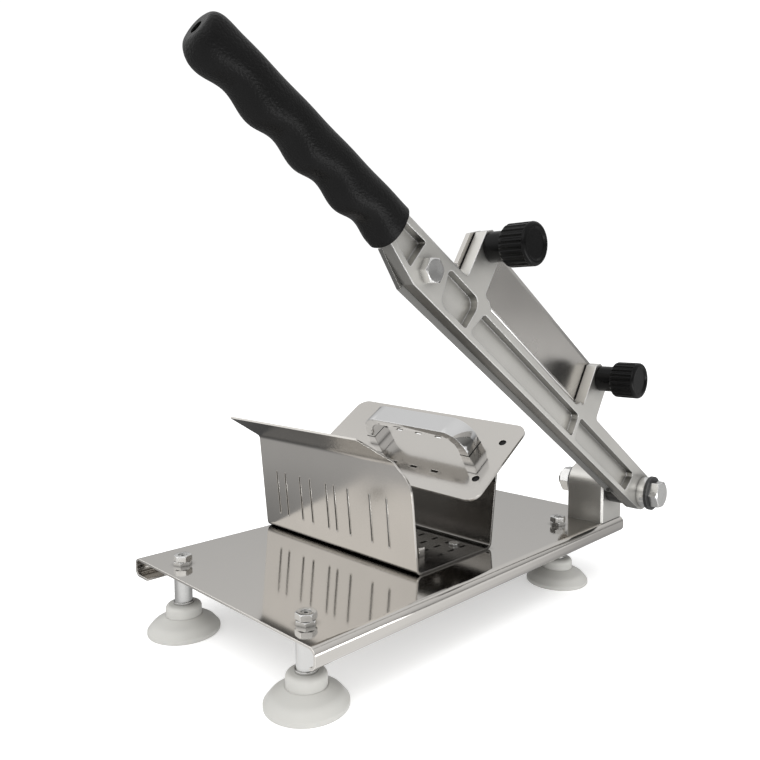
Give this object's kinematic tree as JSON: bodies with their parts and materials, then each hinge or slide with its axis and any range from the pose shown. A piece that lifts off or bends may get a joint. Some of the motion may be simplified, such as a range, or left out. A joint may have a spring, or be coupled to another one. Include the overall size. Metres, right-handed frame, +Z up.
{
  "type": "hand lever meat slicer",
  "caption": "Manual slicer: a sheet base on suction feet, a trough for the meat, a post with a pivoting lever and blade, a thickness plate and a loose pusher.",
  "frame": {"origin": "centre of the base on the surface it stands on", "axes": "+X along the base towards the pivot post, +Y to the back, away from the blade, +Z up"},
  "size_m": [0.4167, 0.2643, 0.3363],
  "materials": {
    "polished_sheet": "mirror polished stainless sheet",
    "bright_steel": "bright turned steel",
    "zinc_steel": "zinc plated",
    "dark_steel": "dark oiled steel",
    "blade_steel": "ground stainless",
    "cast_metal": "tumbled casting",
    "chrome_plate": "chrome plated",
    "insert_brass": "machined",
    "black_plastic": "fine grained black",
    "grey_rubber": "soft satin"
  },
  "bodies": {
    "base": {"base_plate": "polished_sheet", "foot_studs": "zinc_steel", "foot_nuts": "bright_steel", "foot_sleeves": "bright_steel", "foot_washers": "bright_steel", "suction_cups": "grey_rubber", "pivot_post": "cast_metal", "post_screws": "zinc_steel", "pivot_bolt": "bright_steel", "pivot_washers": "dark_steel", "pivot_spacer": "bright_steel", "pivot_bush": "dark_steel", "pivot_nut": "bright_steel", "meat_tray": "polished_sheet", "tray_screws": "bright_steel", "tray_nuts": "zinc_steel"},
    "lever": {"lever_arm": "cast_metal", "blade": "blade_steel", "blade_bolt": "bright_steel", "blade_nut": "bright_steel", "grip": "black_plastic"},
    "gauge": {"thickness_plate": "polished_sheet", "gauge_studs": "zinc_steel"},
    "upper_knob": {"knob_upper": "black_plastic", "knob_insert_upper": "insert_brass"},
    "lower_knob": {"knob_lower": "black_plastic", "knob_insert_lower": "insert_brass"},
    "pusher": {"pusher_plate": "polished_sheet", "pusher_handle": "chrome_plate", "pusher_screws": "zinc_steel"}
  },
  "joints": [
    {"name": "lever_pivot", "type": "hinge", "parent": "base", "child": "lever", "pos_m": [0.1528, -0.12, 0.0759], "axis": [0, 1, 0], "range_deg": [-38.5, 50]},
    {"name": "gauge_slide", "type": "slide", "parent": "lever", "child": "gauge", "axis": [0, 1, 0], "range_m": [-0.0005, 0.009]},
    {"name": "knob_upper_turn", "type": "hinge", "parent": "lever", "child": "upper_knob", "pos_m": [-0.05429, -0.13, 0.25763], "axis": [0, -1, 0], "range_deg": [-180, 3240]},
    {"name": "knob_lower_turn", "type": "hinge", "parent": "lever", "child": "lower_knob", "pos_m": [0.07922, -0.13, 0.17258], "axis": [0, -1, 0], "range_deg": [-180, 3240]},
    {"name": "pusher_lift", "type": "slide", "parent": "base", "child": "pusher", "axis": [0, 0, 1], "range_m": [0, 0.12]}
  ],
  "couplings": [
    {"joint": "knob_upper_turn", "follows": "gauge_slide", "rad_per_m": 6283.2},
    {"joint": "knob_lower_turn", "follows": "gauge_slide", "rad_per_m": 6283.2}
  ]
}
